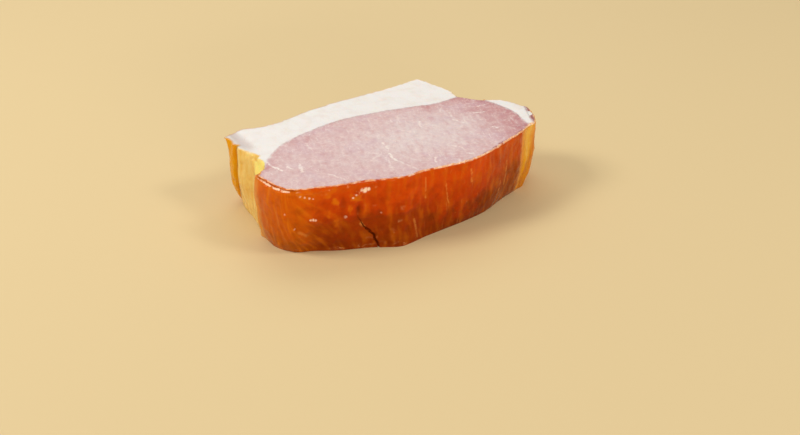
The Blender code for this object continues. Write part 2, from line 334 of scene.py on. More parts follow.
def outer_normals(mesh, seen):
    """Normals at the vertices from the visible faces, carried a little way into the seams."""
    normals = np.zeros((len(mesh.vertices), 3))
    for polygon, visible in zip(mesh.polygons, seen):
        if visible:
            for v in polygon.vertices:
                normals[v] += np.array(polygon.normal) * polygon.area
    size = np.linalg.norm(normals, axis=1)
    normals = normals / np.maximum(size, TINY)[:, None]
    hidden = size == 0.0
    ends = np.array([e.vertices[:] for e in mesh.edges])
    for _ in range(SEAM_ROWS):
        carried = np.zeros_like(normals)
        np.add.at(carried, ends[:, 0], normals[ends[:, 1]])
        np.add.at(carried, ends[:, 1], normals[ends[:, 0]])
        size = np.maximum(np.linalg.norm(carried, axis=1), TINY)
        bare = hidden & ~np.any(normals != 0.0, axis=1)
        normals[bare] = (carried / size[:, None])[bare]
    return normals, hidden


# Noise and other fields over points

NOISE_CELLS = 64
NOISE_STEPS = 1.8


def ramp(values, low, high):
    """A smooth step from 0 at low to 1 at high."""
    share = np.clip((np.asarray(values, float) - low) / (high - low), 0.0, 1.0)
    return share * share * (3 - 2 * share)


def near(values, reach):
    """1 where a value is 0, falling away over a reach."""
    return np.exp(-((values / reach) ** 2))


def spot(places, middle, radius):
    """1 at a point, falling away over a radius."""
    return np.exp(-np.sum((places - np.array(middle)) ** 2, axis=1) / radius**2)


def waves(places, size, seed):
    """Smooth noise from -1 to 1, with waves of a given size."""
    lattice = np.random.default_rng(seed).uniform(-1.0, 1.0, (NOISE_CELLS,) * 3)
    scaled = places / np.broadcast_to(np.array(size, float), (3,)) * NOISE_STEPS
    corner = np.floor(scaled).astype(int)
    share = scaled - corner
    share = share * share * (3 - 2 * share)
    total = np.zeros(len(places))
    for offset in np.ndindex(2, 2, 2):
        weight = np.prod(np.where(offset, share, 1 - share), axis=1)
        total += weight * lattice[tuple(((corner + offset) % NOISE_CELLS).T)]
    return total


def waver(values, size, seed):
    """The same noise along one measure."""
    return waves(np.stack([values] * 3, axis=1), size, seed)


def uneven(places, kind, share=0.0):
    """Relief of one kind: its size, seed and height, and how much higher it is at share 1."""
    size, seed, height, more = kind
    return (height + more * share) * waves(places, size, seed)


# Relief of the smoked outside

# Noise: size, seed, height, and how much higher it is in the middle of the front or behind
BIG_LUMPS = (5.5, 7, 0.12, 0.30)
SMALL_LUMPS = (2.6, 12, 0.06, 0.10)
SLOW_SWELL = (14.0, 3, 0.40, 0.35)
SWELL = (4.4, 5, 0.16, 0.10)

# Where along x or y the front wall and its lumpy part begin and end, and the wall behind begins
FRONT_WALL = (-30, -20)
LUMPY_FROM = (-64, -52)
LUMPY_TO = (-16, 2)
BEHIND = (0, 20)

# Hollows in the smoked front: place, radius and depth
PITS = (
    (-35.8, -36.8, 20.8, 1.8, 0.7),
    (-36.5, -36.6, 18.6, 1.3, 0.4),
    (-51.0, -33.0, 23.6, 1.5, 0.4),
    (-26.3, -39.3, 21.6, 1.5, 0.6),
    (-42.5, -36.0, 23.5, 2.0, 0.35),
    (-44.5, -36.0, 9.5, 2.6, 0.3),
    (-20.0, -41.5, 17.0, 1.6, 0.3),
    (-3.0, -41.0, 9.0, 1.3, 0.35),
)

# Small ledges in the smoked front that catch the light: place, radius and rise
LEDGES = (
    (-33.6, -37.2, 27.6, 1.8, 0.40),
    (-36.0, -36.8, 26.2, 1.5, 0.30),
    (-38.4, -36.1, 24.8, 1.2, 0.25),
    (-60.0, -30.2, 28.4, 1.3, 0.25),
    (-57.4, -31.2, 27.6, 1.3, 0.25),
    (-55.4, -31.6, 27.0, 1.3, 0.20),
    (-54.9, -31.7, 17.0, 1.6, 0.35),
    (-53.0, -32.2, 16.6, 1.3, 0.25),
    (-42.1, -35.3, 16.4, 1.8, 0.25),
    (-26.9, -39.2, 15.9, 1.6, 0.30),
    (-45.9, -34.3, 26.6, 1.2, 0.20),
    (-28.7, -38.3, 28.3, 1.2, 0.25),
    (-65.6, -25.8, 19.8, 1.0, 0.25),
    (-62.5, -28.5, 13.3, 1.2, 0.30),
    (-63.7, -27.8, 15.3, 1.0, 0.25),
)
LEDGE_TURN = 0.6

# The wavering shelf under which the front wall steps back
SHELF_HEIGHT = 15.0
SHELF_WAVER = 1.5
SHELF_NOISE = (9.0, 71)
SHELF_FOOT = 1.4
SHELF_HEAD = 0.8
SHELF_DEPTH = 0.5

# The fine grain up and down the wall, which stops at the groove in the left end
GRAIN_HEIGHT = 0.12
GRAIN_NOISE = ((3.2, 14.0, 1.0), 21)
GROOVE = (-64.0, 23.0)
GROOVE_REACH = 5.0


def wall_relief(places, grain):
    """How far the smoked outside swells or sinks, and its lumps alone."""
    x, y, z = places.T
    front = 1 - ramp(y, *FRONT_WALL)
    middle = ramp(x, *LUMPY_FROM) * (1 - ramp(x, *LUMPY_TO)) * front
    lumps = uneven(places, BIG_LUMPS, middle)
    lumps += uneven(places, SMALL_LUMPS, middle)
    for *pit, radius, depth in PITS:
        lumps -= depth * spot(places, pit, radius)
    for *ledge, radius, rise in LEDGES:
        lumps += rise * np.tanh((ledge[2] - z) / LEDGE_TURN) * spot(places, ledge, radius)
    shelf = SHELF_HEIGHT + SHELF_WAVER * waves(places, *SHELF_NOISE)
    below_shelf = middle * (1 - ramp(z, shelf - SHELF_FOOT, shelf + SHELF_HEAD))
    behind = ramp(y, *BEHIND)
    relief = lumps + uneven(places, SLOW_SWELL, behind)
    relief += uneven(places, SWELL, behind)
    in_groove = spot(places[:, :2], GROOVE, GROOVE_REACH)
    relief += GRAIN_HEIGHT * (1 - in_groove) * waves(grain, *GRAIN_NOISE)
    relief -= SHELF_DEPTH * below_shelf
    return relief, lumps


# The softened edge between the cut face and the smoked outside, wider at the front's left corner
SHOULDER_WIDTH = 0.9
SHOULDER_MORE = 1.1
SHOULDER_WAVER = 0.35
SHOULDER_NOISE = (4.0, 81)
LEFT_CORNER_X = (-56, -46)
LEFT_CORNER_Y = (-14, -7)


def shoulder_width(places, around):
    """How wide the softened edge is at each point."""
    x, y, _ = places.T
    corner = (1 - ramp(x, *LEFT_CORNER_X)) * (1 - ramp(y, *LEFT_CORNER_Y))
    return SHOULDER_WIDTH + SHOULDER_MORE * corner + SHOULDER_WAVER * waver(around, *SHOULDER_NOISE)


# The split in the front wall: x and z of its two ends
SPLIT = ((-37.2, 16.5), (-27.4, -2.0))

# How its lips close from its foot up, and over what width
SPLIT_CLOSED = 0.3
SPLIT_CLOSED_MORE = 0.6
SPLIT_CLOSES = (7, 13)
SPLIT_LIPS = 1.6

# How it bends aside at one height and wavers, and what moves with it
SPLIT_BEND = 1.3
SPLIT_BEND_HEIGHT = 5.5
SPLIT_BEND_REACH = 3.2
SPLIT_WAVER = 0.5
SPLIT_NOISE = (3.2, 91)
SPLIT_SIDES = 4.0
SPLIT_INWARD = (-33, -28)
SPLIT_UPWARD = (15, 19)


def bend_split(places):
    """How far points beside the split move along the wall, so that it wavers and narrows."""
    x, y, z = places.T
    (top_x, top_z), (foot_x, foot_z) = SPLIT
    aside = x - top_x - (foot_x - top_x) * (top_z - z) / (top_z - foot_z)
    narrowing = SPLIT_CLOSED + SPLIT_CLOSED_MORE * ramp(z, *SPLIT_CLOSES)
    moved = -narrowing * aside * near(aside, SPLIT_LIPS)
    bend = SPLIT_BEND * near(z - SPLIT_BEND_HEIGHT, SPLIT_BEND_REACH)
    bend = bend + SPLIT_WAVER * waver(z, *SPLIT_NOISE)
    moved += bend * near(aside, SPLIT_SIDES)
    return moved * (1 - ramp(y, *SPLIT_INWARD)) * (1 - ramp(z, *SPLIT_UPWARD))


# Relief of the cut face: size, seed, height, and how much higher it is in the muscle
CUT_SWELL = (10.0, 31, 0.14, 0.0)
CUT_BUMPS = (3.2, 44, 0.04, 0.07)
CUT_GRAIN = (1.6, 51, 0.02, 0.05)
CUT_MUSCLE = (-1.0, 0.5)


def cut_relief(places, fat):
    """The slight unevenness of a cut face."""
    lean = 1 - ramp(fat, *CUT_MUSCLE)
    relief = uneven(places, CUT_SWELL)
    relief += uneven(places, CUT_BUMPS, lean)
    relief += uneven(places, CUT_GRAIN, lean)
    return relief


# The dressed surface

# Above this height the edge of the cut face shapes the wall
UPPER_PART = 20
RIM_SLACK = 0.05
RIM_OVERLAP = 0.6
UNDERCUT = -0.5
BEHIND_SEAM = 2.5
HALF_SEAM = 0.15
FOOT_SKIN = 1.2

# The grain leans at the left of the front
GRAIN_SLANT = 0.8
GRAIN_LEANS = (-60, -25)

# Where the wall's and the cut's relief end, across the edge between them
WALL_EDGE = (-0.4, 1.0)
CUT_EDGE = (-1.5, 0.0)
FOOT_FADE = (0.0, 1.5)

# The low lip along the edge: gap from the edge, width, height and its noise
LIP_GAP = 0.5
LIP_WIDTH = 0.6
LIP_HEIGHT = 0.08
LIP_WAVER = 0.16
LIP_NOISE = (3.6, 61)
LIP_RISES = (20, 25)

# The bulge of the fat beside the front: place, radius and rise
BULGE = ((-63.5, 1.5, 27.0), 4.0, 0.9)
BULGE_IN_FAT = (0.0, 0.8)

# Where the smoked skin of the fat curls over the cut's edge: place in plan, reach and drop
ROLLED_EDGE = ((-64.0, 0.5), 5.5, 1.4)
ROLLED_ACROSS = (-3.5, 0.5)
ROLLED_UP = (18, 26)
ROLLED_IN_FAT = (-0.5, 0.5)
ROLLED_SKIN = 4.6
CUT_BACK_RISES = (20, 26)

# Where the smoked skin of the muscle comes over the edge: place in plan and reach
LEAN_CORNER = ((-69.0, -7.2), 3.2)
LEAN_CORNER_SKIN = 1.6

# How the skin's edge follows the shoulder
SKIN_SHARE = 0.8
SKIN_BACK = 0.5

UPWARD = (0.0, 0.0, 1.0)


def give(mesh, name, values):
    values = np.asarray(values, np.float32)
    kind, key = ("FLOAT", "value") if values.ndim == 1 else ("FLOAT_VECTOR", "vector")
    mesh.attributes.new(name, kind, "POINT").data.foreach_set(key, values.ravel())


def below_edge(places, up, hidden):
    """Each point's way below the edge of the cut face, which is less than 0 on a cut face.

    Also whether it is on the underside, how far round the slab it is, and the way out from there.
    """
    z = places[:, 2]
    gap, height, around, outward = nearest_on_rim(places, top_rim)
    foot_gap = nearest_on_rim(places, foot_rim)[0]
    on_top = (up > FLAT_UP) | ((up > UNDERCUT) & (z > height - RIM_SLACK) & (gap < RIM_OVERLAP))
    on_top &= z > UPPER_PART
    under = (up < -FLAT_UP) & (z < FLAT_FOOT)
    rim = np.maximum(np.minimum(height - z, z + FOOT_SKIN), 0.0)
    rim = np.where(on_top, -gap, np.where(under, FOOT_SKIN - foot_gap, rim))
    rim = np.where(hidden & (gap > BEHIND_SEAM) & (z > UPPER_PART), -gap, rim)
    return rim, under, around, outward


def depth_in_fat(name, places):
    """Each point's depth in the fat, or less than 0 in the muscle."""
    fatty = name in FATTY
    unlike = [tree for other, tree in solids.items() if (other in FATTY) != fatty]
    gap = np.array([min(t.find_nearest(Vector(p))[3] for t in unlike) for p in places * MM]) / MM
    return (gap - HALF_SEAM) * (1 if fatty else -1)


def dress_surface(name, mesh):
    """Gives a layer its relief, and the measures that its material reads at each point."""
    normals, hidden = outer_normals(mesh, outer_faces(mesh, neighbours(name)))
    places = places_of(mesh) / MM
    x, y, z = places.T
    plan = places[:, :2]
    up = normals[:, 2]
    rim, under, around, outward = below_edge(places, up, hidden)
    fat = depth_in_fat(name, places)
    slant = GRAIN_SLANT * (1 - ramp(x, *GRAIN_LEANS)) * (1 - ramp(y, *FRONT_WALL))
    grain = np.stack([around + slant * z, z, np.zeros(len(x))], axis=1)
    swell, lumps = wall_relief(places, grain)
    relief = ramp(rim, *WALL_EDGE) * swell + (1 - ramp(rim, *CUT_EDGE)) * cut_relief(places, fat)
    lip = near(rim + LIP_GAP, LIP_WIDTH) * ramp(z, *LIP_RISES)
    relief += lip * (LIP_HEIGHT + LIP_WAVER * waves(places, *LIP_NOISE))
    bulge_middle, bulge_radius, bulge_rise = BULGE
    relief += bulge_rise * spot(places, bulge_middle, bulge_radius) * ramp(fat, *BULGE_IN_FAT)
    relief *= np.where(under, 0.0, ramp(z, *FOOT_FADE))
    roll_middle, roll_reach, roll_drop = ROLLED_EDGE
    rolled = spot(plan, roll_middle, roll_reach)
    rolled *= ramp(rim, *ROLLED_ACROSS) * ramp(z, *ROLLED_UP) * ramp(fat, *ROLLED_IN_FAT)
    width = shoulder_width(places, around)
    cut_back = np.maximum(width - np.abs(rim), 0.0) / 2 * ramp(z, *CUT_BACK_RISES)
    cut_back = np.where(hidden, 0.0, cut_back)
    level = np.hypot(*normals[:, :2].T)
    ways = outward * level[:, None] + up[:, None] * UPWARD
    moved = places + ways * relief[:, None]
    moved -= (outward + UPWARD) * cut_back[:, None]
    moved[:, 2] -= roll_drop * rolled * ramp(rim, *ROLLED_ACROSS)
    moved[:, 0] += bend_split(places)
    put_places(mesh, moved * MM)
    skin = rim + width * SKIN_SHARE - SKIN_BACK
    skin = skin + ROLLED_SKIN * rolled + LEAN_CORNER_SKIN * spot(plan, *LEAN_CORNER)
    give(mesh, "rim", np.where(z > UPPER_PART, skin, rim))
    give(mesh, "fat", fat)
    give(mesh, "grain", grain)
    give(mesh, "lumps", lumps)


meshes = {name: smooth_mesh(name) for name in LAYERS}
press_seams(meshes)
top_rim = rim_lines(True)
foot_rim = rim_lines(False)


# Materials

# Share of a painted line's width that has its full strength
FULL_LINE = 0.15

# The middle value of noise in three parts, and its detail where it bends a place
NOISE_MIDDLE = (0.5, 0.5, 0.5)
BEND_DETAIL = 2.0


class Looks:
    """A material's nodes, written as sums."""

    def __init__(self, name):
        self.material = bpy.data.materials.new(name)
        self.material.use_nodes = True
        self.tree = self.material.node_tree
        self.tree.nodes.clear()
        place = self.add("ShaderNodeTexCoord").outputs["Object"]
        self.place = self.vector("SCALE", place, Scale=1 / MM)
        self.x, self.y, self.z = self.add("ShaderNodeSeparateXYZ", {0: self.place}).outputs
        self.rim = self.measure("rim")
        self.fat = self.measure("fat")
        self.grain = self.measure("grain", "Vector")

    def add(self, kind, inputs=(), **settings):
        node = self.tree.nodes.new(kind)
        for key, value in settings.items():
            setattr(node, key, value)
        for key, value in dict(inputs).items():
            self.put(node.inputs[key], value)
        return node

    def put(self, socket, value):
        if isinstance(value, bpy.types.NodeSocket):
            self.tree.links.new(value, socket)
        else:
            socket.default_value = value

    def measure(self, name, output="Fac"):
        return self.add("ShaderNodeAttribute", attribute_name=name).outputs[output]

    def math(self, operation, *values):
        return self.add("ShaderNodeMath", dict(enumerate(values)), operation=operation).outputs[0]

    def vector(self, operation, *values, **named):
        inputs = {**dict(enumerate(values)), **named}
        node = self.add("ShaderNodeVectorMath", inputs, operation=operation)
        return node.outputs["Value" if operation in ("LENGTH", "DISTANCE", "DOT_PRODUCT") else 0]

    def join(self, operation, values):
        """One sum over many values, two at a time."""
        return functools.reduce(lambda so_far, one: self.math(operation, so_far, one), values)

    def add_up(self, *values):
        return self.join("ADD", values)

    def times(self, *values):
        return self.join("MULTIPLY", values)

    def largest(self, values):
        return self.join("MAXIMUM", values)

    def rise(self, value, slope, start):
        return self.math("MULTIPLY_ADD", value, slope, start)

    def off(self, value, middle):
        """How far a value is from its middle, either way."""
        return self.math("ABSOLUTE", self.math("ADD", value, -middle))

    def ramp(self, value, low, high, bottom=0.0, top=1.0):
        """A smooth step: bottom at low, top at high."""
        inputs = {0: value, 1: low, 2: high, 3: bottom, 4: top}
        settings = {"interpolation_type": "SMOOTHSTEP", "clamp": False}
        return self.add("ShaderNodeMapRange", inputs, **settings).outputs[0]

    def mix(self, share, first, second):
        inputs = {0: share, 6: first, 7: second}
        return self.add("ShaderNodeMix", inputs, data_type="RGBA").outputs[2]

    def noise(self, place=None, size=1.0, detail=1.0, rough=0.5):
        inputs = {
            "Vector": place or self.place,
            "Scale": 1 / size,
            "Detail": detail,
            "Roughness": rough,
        }
        return self.add("ShaderNodeTexNoise", inputs).outputs["Fac"]

    def about(self, value, reach):
        """Noise turned from 0..1 into -reach..reach."""
        return self.rise(value, 2 * reach, -reach)

    def squeezed(self, place, shares):
        return self.vector("MULTIPLY", place, shares)

    def bent(self, place, size, reach):
        """A place moved by smooth noise of a size, up to half a reach each way."""
        inputs = {"Vector": self.place, "Scale": 1 / size, "Detail": BEND_DETAIL}
        moved = self.add("ShaderNodeTexNoise", inputs).outputs["Color"]
        moved = self.vector("SUBTRACT", moved, NOISE_MIDDLE)
        return self.vector("ADD", place, self.vector("SCALE", moved, Scale=reach))

    def turned(self, place, angle):
        inputs = {"Vector": place, "Angle": angle}
        return self.add("ShaderNodeVectorRotate", inputs, rotation_type="Z_AXIS").outputs[0]

    def from_point(self, place, point):
        return self.vector("DISTANCE", place, point)

    def line(self, place, start, end, width):
        """1 on a line from start to end, falling to 0 at its width."""
        start, end = Vector(start), Vector(end)
        along = end - start
        from_start = self.vector("SUBTRACT", place, tuple(start))
        share = self.vector("DOT_PRODUCT", from_start, tuple(along / along.length_squared))
        share = self.math("MINIMUM", self.math("MAXIMUM", share, 0.0), 1.0)
        on_line = self.vector("SCALE", tuple(along), Scale=share)
        return self.ramp(self.from_point(from_start, on_line), width, width * FULL_LINE)


# The cut muscle: how fast its rose fades from the rim and from the fat, and the rosier end
ROSE_FROM_RIM = 0.42
ROSE_FROM_FAT = 0.20
ROSE_END = (20.0, 66.0)

# The middle and reach of the painted sheen, a pale veil of painted reflection, and the bundles and
# fibres
SHEEN_MIDDLE = (10.0, -11.0, 31.0)
SHEEN_SHARES = (1 / 40.0, 1 / 22.0, 0.0)
BUNDLE_SIZE = 1.7
FIBRE_TURN = 1.9
FIBRE_SHARES = (0.36, 1.0, 1.0)


def lean_cut(k):
    """The cut muscle: pale pink, rosier at its edges and right end, in pale-edged bundles, under a
    painted sheen.
    """
    edge = k.math("EXPONENT", k.math("MULTIPLY", k.rim, ROSE_FROM_RIM))
    by_fat = k.math("EXPONENT", k.math("MULTIPLY", k.fat, ROSE_FROM_FAT))
    right = k.ramp(k.x, *ROSE_END)
    patches = k.about(k.noise(size=8.0, detail=3.0), 0.75)
    shares = (k.times(edge, 0.25), k.times(by_fat, 0.36), k.times(right, 0.85))
    rose = k.add_up(*shares, patches, -0.05)
    colour = k.mix(k.ramp(rose, 0.0, 0.75), LEAN_PALE, LEAN_ROSE)
    colour = k.mix(k.ramp(rose, 0.75, 1.5), colour, LEAN_DEEP)
    # A pale veil in the middle: a painted sheen, soft reflection painted into the colour
    from_middle = k.squeezed(k.vector("SUBTRACT", k.place, SHEEN_MIDDLE), SHEEN_SHARES)
    from_middle = k.vector("LENGTH", from_middle)
    painted_sheen = k.add_up(k.ramp(from_middle, 1.5, 0.1), k.about(k.noise(size=5.0, detail=3.0), 0.4))
    colour = k.mix(k.ramp(painted_sheen, 0.0, 1.3, top=0.8), colour, LEAN_PAINTED_SHEEN)
    colour = k.mix(k.ramp(k.noise(size=11.0, detail=2.0), 0.5, 0.7, top=0.45), colour, LEAN_LILAC)
    bent = k.bent(k.place, size=2.0, reach=1.2)
    inputs = {"Vector": bent, "Scale": 1 / BUNDLE_SIZE}
    bundles = k.add("ShaderNodeTexVoronoi", inputs, feature="DISTANCE_TO_EDGE")
    borders = k.ramp(bundles.outputs["Distance"], 0.16, 0.0)
    fibres = k.squeezed(k.turned(bent, FIBRE_TURN), FIBRE_SHARES)
    fibres = k.noise(fibres, size=2.4, detail=2.0)
    colour = k.mix(k.ramp(fibres, 0.50, 0.78, top=0.28), colour, MARBLE_WHITE)
    colour = k.mix(k.ramp(fibres, 0.50, 0.22, top=0.38), colour, LEAN_ROSE)
    fine = k.noise(size=1.8, detail=2.0)
    colour = k.mix(k.times(borders, k.ramp(fine, 0.4, 0.6, top=0.30)), colour, MARBLE_WHITE)
    colour = k.mix(k.ramp(fine, 0.52, 0.78, top=0.16), colour, MARBLE_WHITE)
    colour = k.mix(k.ramp(fine, 0.47, 0.26, top=0.18), colour, LEAN_ROSE)
    return colour, k.add_up(fine, k.times(borders, 0.25))


# White streaks in the cut face: two points in plan, the width, and how white it is
MARBLING = (
    (-7.9, -8.8, -8.6, -14.4, 0.8, 0.9),
    (-8.6, -14.4, -11.1, -19.7, 0.5, 0.4),
    (-11.1, -19.7, -11.4, -26.4, 1.2, 1.0),
    (-11.4, -26.4, -8.0, -38.4, 0.7, 0.6),
    (-14.0, -22.0, -17.5, -33.6, 0.8, 0.5),
    (-14.5, -18.0, -20.5, -21.0, 1.0, 0.45),
    (-59.7, 2.4, -59.6, -4.2, 0.8, 0.8),
    (-59.1, -3.8, -58.0, -9.4, 1.0, 1.0),
    (-54.2, -6.6, -53.6, -10.4, 0.9, 0.9),
    (-48.7, -7.9, -51.1, -15.2, 1.2, 0.8),
    (-42.8, -22.4, -39.4, -31.0, 0.6, 0.7),
    (-18.6, -12.7, -15.5, -16.9, 1.4, 0.5),
    (4.7, -32.8, 2.1, -36.8, 0.7, 0.8),
    (15.3, -25.4, 18.7, -28.1, 0.8, 0.8),
    (18.7, -28.1, 20.5, -33.3, 0.6, 0.6),
    (18.6, -36.0, 21.0, -38.0, 0.7, 0.8),
    (44.0, -3.5, 49.2, -4.8, 0.7, 1.0),
    (50.0, 2.0, 54.4, 1.9, 0.7, 0.7),
    (35.3, 4.4, 32.3, -5.3, 1.1, 0.5),
    (32.3, -5.3, 34.4, -10.3, 0.7, 0.8),
    (17.5, 1.3, 15.4, -3.7, 0.9, 0.6),
    (4.9, -1.0, 8.4, -5.6, 1.0, 0.5),
    (12.3, 12.1, 9.0, 4.0, 1.2, 0.4),
    (43.6, -20.2, 44.3, -22.2, 0.9, 0.8),
    (-36.7, 8.8, -37.7, 2.4, 0.8, 0.5),
    (-6.6, -24.4, -3.6, -31.0, 0.5, 0.4),
)
FLECK_SHARES = (0.20, 1.0, 1.0)
IN_PLAN = (1, 1, 0)


def marbling(k):
    """White streaks and flecks in the cut muscle."""
    flat = k.squeezed(k.bent(k.place, size=2.4, reach=2.6), IN_PLAN)
    streaks = k.largest(
        k.times(k.line(flat, (x0, y0, 0), (x1, y1, 0), width), strength)
        for x0, y0, x1, y1, width, strength in MARBLING
    )
    ragged = k.ramp(k.noise(size=1.0, detail=2.0), 0.30, 0.52)
    turned = k.bent(k.turned(k.place, FIBRE_TURN), size=9.0, reach=5.0)
    fine = k.noise(k.squeezed(turned, FLECK_SHARES), size=1.2, detail=2.0, rough=0.55)
    fine = k.ramp(fine, 0.60, 0.74)
    where = k.ramp(k.noise(size=10.0), 0.42, 0.62)
    return k.math("MAXIMUM", k.times(streaks, ragged), k.times(fine, where, 0.55))


# Greyer fat: painted shade in the trough of the left corner, and grey along the back edge
TROUGH_X = -60.5
TROUGH_HALF = (4.5, 1.0)
TROUGH_Y = (12.0, 22.0)
GREY_RIM = (-2.0, -0.4)
GREY_BACK_Y = (20.0, 28.0)
GREY_BACK_X = (30.0, 5.0)


def fat_cut(k):
    """The cut fat: warm white, with painted shade in the left corner's trough and a little grey
    along the back.
    """
    soft = k.noise(size=5.0, detail=2.0)
    colour = k.mix(k.ramp(soft, 0.4, 0.8, top=0.35), FAT_WHITE, FAT_CREAM)
    # Painted shade in the left corner's trough
    trough = k.times(k.ramp(k.off(k.x, TROUGH_X), *TROUGH_HALF), k.ramp(k.y, *TROUGH_Y))
    colour = k.mix(k.times(trough, 0.55), colour, FAT_GREY_AND_SHADE)
    back = k.times(k.ramp(k.rim, *GREY_RIM), k.ramp(k.y, *GREY_BACK_Y), k.ramp(k.x, *GREY_BACK_X))
    return k.mix(k.times(back, 0.75), colour, FAT_GREY_AND_SHADE)


# The smoked muscle: where along x, y or z its parts begin and end
WALL_HEIGHT = 31.4
PALER_LEFT = (-46.0, -66.0)
BROWNER_BACK = (2.0, 10.0)
BROWNER_RIGHT = (10.0, 48.0)
AMBER_END = (60.0, 64.0)
AMBER_RIGHT = (20.0, 44.0)
FIBROUS_RIGHT = (-14.0, 4.0)

# The darker band under the shelf, which is painted shade
BAND_TOP = (16.5, 13.0)
BAND_LEFT = (-62.0, -52.0)
BAND_RIGHT = (6.0, -14.0)

# The cluster of amber crests above the split: its middle, and where it fades
CLUSTER = (-43.0, -35.0, 21.0)
CLUSTER_FADE = (14.0, 5.0)

GRAIN_SHARES = (1.0, 0.34, 1.0)
FIBRE_GRAIN_SHARES = (1.0, 0.35, 1.0)

# Pale fibre lines in the smoked front: two points, the width, and how pale it is
FIBRES = (
    ((-5.7, -41.4, 30.0), (-6.0, -41.6, 18.5), 0.7, 0.6),
    ((3.5, -42.2, 30.4), (4.2, -42.6, 19.4), 0.7, 0.9),
    ((4.2, -42.6, 19.4), (6.2, -42.4, 7.3), 0.7, 0.9),
    ((6.2, -42.4, 7.3), (9.5, -42.2, 6.9), 0.6, 0.6),
    ((16.8, -43.3, 26.5), (17.4, -43.1, 20.2), 1.1, 1.0),
    ((17.4, -43.1, 20.2), (17.6, -43.0, 17.5), 0.7, 0.8),
    ((36.9, -37.2, 14.5), (35.8, -36.5, 3.0), 0.6, 0.8),
    ((41.0, -36.0, 22.0), (39.5, -35.2, 10.0), 0.8, 0.5),
    ((-12.0, -42.0, 10.0), (-11.0, -42.5, 1.0), 0.9, 0.45),
    ((15.0, -42.6, 11.0), (14.8, -42.3, 5.0), 0.8, 0.5),
    ((-35.4, -36.8, 12.0), (-30.4, -39.6, 4.6), 1.1, 0.7),
    ((-30.4, -39.6, 4.6), (-29.6, -40.0, 1.5), 1.0, 0.7),
    ((-61.0, -29.5, 11.5), (-56.0, -31.0, 8.0), 1.2, 0.45),
)

# Painted highlights, pale flecks where the glaze catches the light: place, radius and how pale it
# is
FLECKS = (
    (-34.6, -36.9, 28.0, 1.1, 1.1),
    (-33.3, -37.2, 27.6, 1.6, 1.25),
    (-31.6, -37.5, 27.8, 1.1, 1.1),
    (-37.0, -36.5, 26.0, 0.7, 0.8),
    (-38.4, -36.1, 24.8, 0.7, 0.8),
    (-60.2, -30.2, 28.7, 0.7, 0.7),
    (-58.4, -30.8, 28.2, 0.6, 0.6),
    (-56.8, -31.3, 27.8, 0.7, 0.7),
    (-55.3, -31.7, 27.2, 0.6, 0.6),
    (-56.4, -31.3, 17.3, 0.7, 0.8),
    (-55.4, -31.6, 17.1, 0.9, 1.0),
    (-54.3, -31.9, 16.8, 0.8, 0.9),
    (-42.0, -35.3, 16.4, 0.9, 0.5),
    (-26.6, -39.2, 15.9, 0.7, 0.4),
    (-65.5, -25.9, 19.9, 0.7, 0.7),
    (-62.5, -28.5, 13.3, 0.7, 0.7),
)
FLECK_CORE = 0.3


